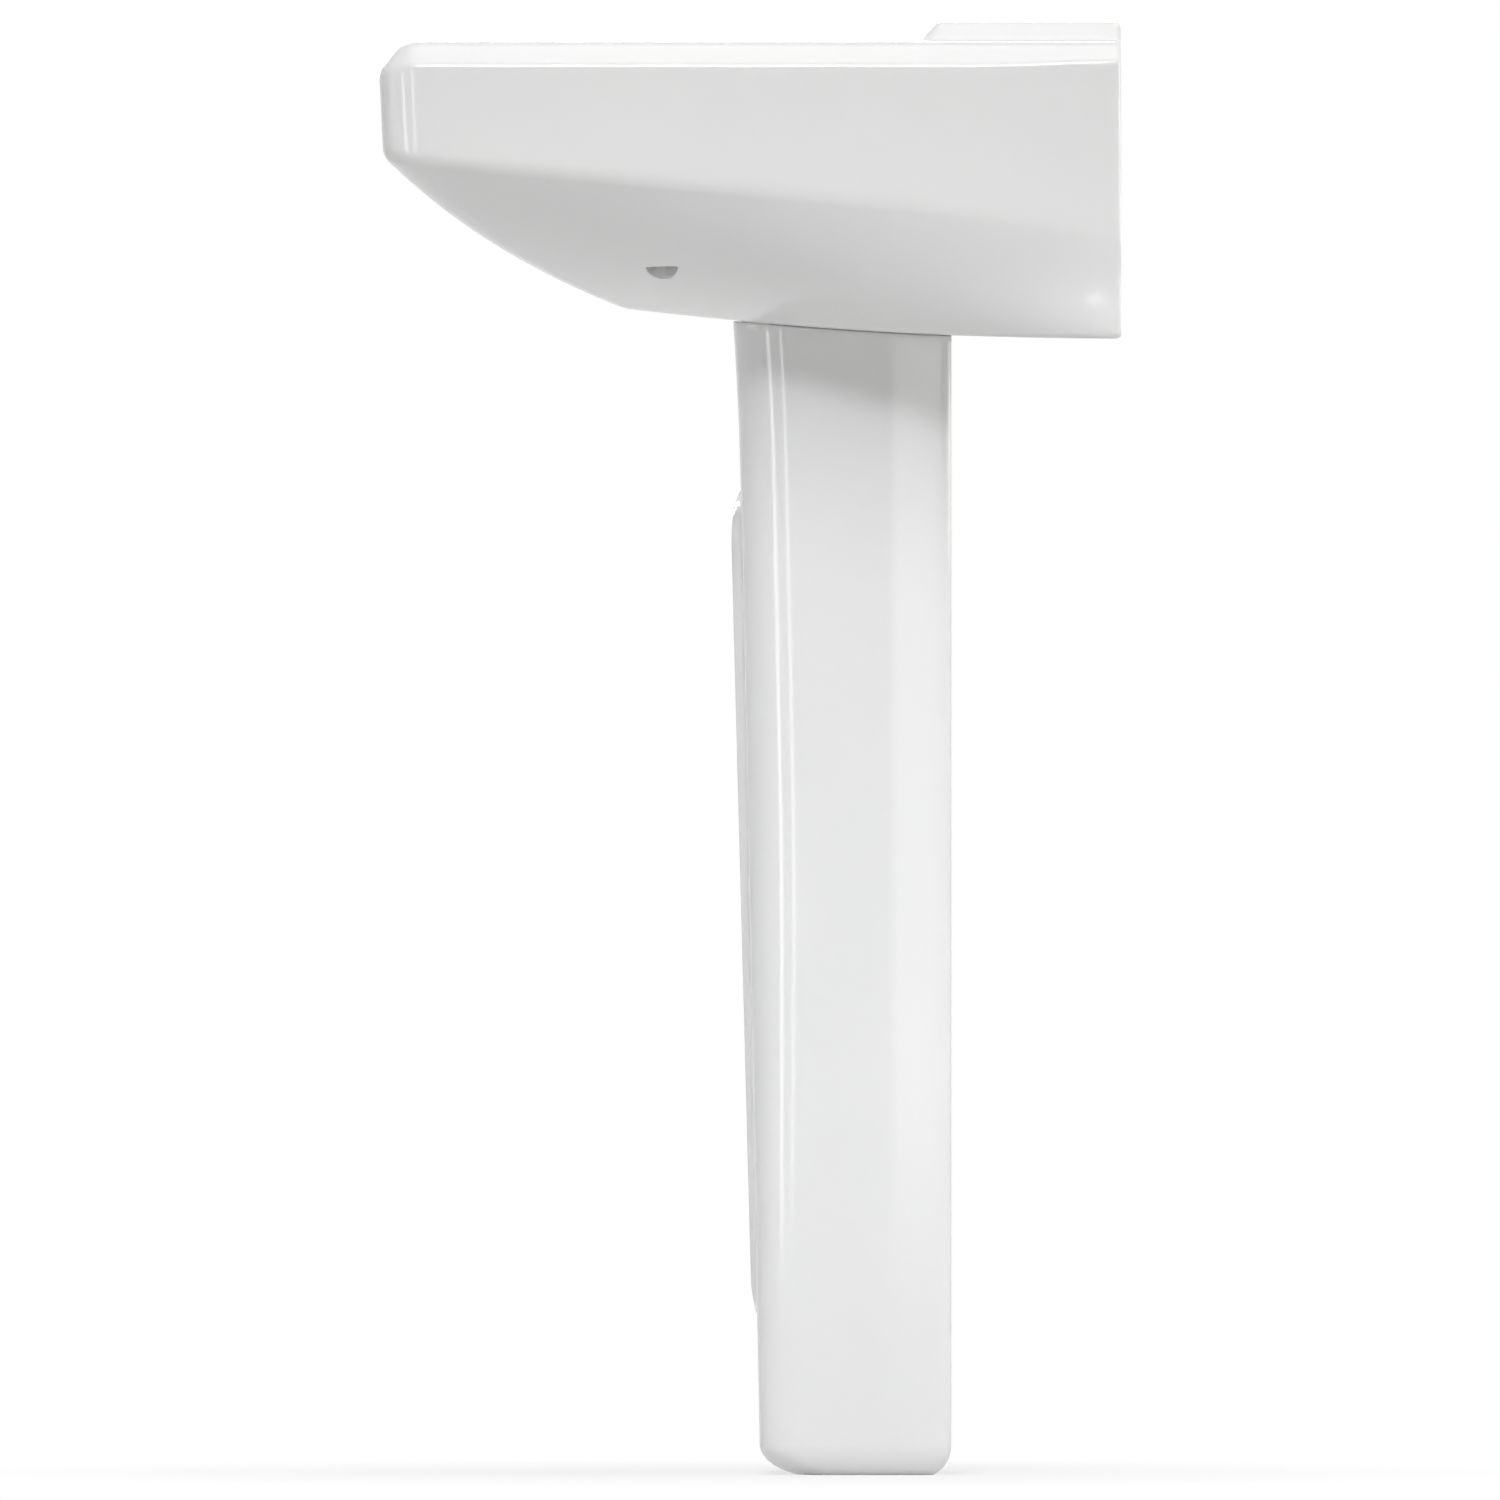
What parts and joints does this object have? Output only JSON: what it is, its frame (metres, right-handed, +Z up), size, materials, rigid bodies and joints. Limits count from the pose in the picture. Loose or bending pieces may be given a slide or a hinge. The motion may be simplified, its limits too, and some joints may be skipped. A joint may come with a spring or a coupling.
{
  "type": "pedestal sink",
  "caption": "Rectangular china wash basin with faceted underside and raised rear ledge on a tapering open-backed pedestal, with a push-button waste.",
  "frame": {"origin": "on the floor, below the middle of the width and of the depth", "axes": "+Z up, +Y towards the wall behind the sink, +X to the right of someone who faces the wall"},
  "size_m": [0.5598, 0.4499, 0.8845],
  "materials": {
    "glazed_china": "gloss white glaze",
    "clear_silicone": "pale silicone strip",
    "chromed_brass": "polished chrome plate",
    "plain_brass": "turned brass",
    "black_rubber": "smooth black rubber",
    "grey_rubber": "moulded grey rubber",
    "white_nylon": "moulded nylon",
    "grey_nylon": "moulded nylon",
    "spring_steel": "drawn steel wire"
  },
  "bodies": {
    "sink": {"basin": "glazed_china", "pedestal": "glazed_china", "seat_gasket": "clear_silicone", "waste_body": "chromed_brass", "flange_gasket": "black_rubber", "taper_seal": "grey_rubber", "friction_washer": "white_nylon", "backnut": "plain_brass", "tailpiece": "chromed_brass", "tailpiece_seal": "black_rubber", "cartridge_housing": "white_nylon", "cartridge_collar": "white_nylon", "cartridge_spring": "spring_steel", "overflow_ring": "chromed_brass", "overflow_grommet": "grey_rubber"},
    "stopper": {"stopper_cap": "chromed_brass", "stopper_seal": "black_rubber", "stopper_stem": "plain_brass", "stem_lock_nut": "plain_brass", "cartridge_rotor": "grey_nylon"}
  },
  "joints": [
    {"name": "stopper_slide", "type": "slide", "parent": "sink", "child": "stopper", "axis": [0, 0, 1], "range_m": [0, 0.009], "deforming": ["cartridge_spring"]}
  ]
}
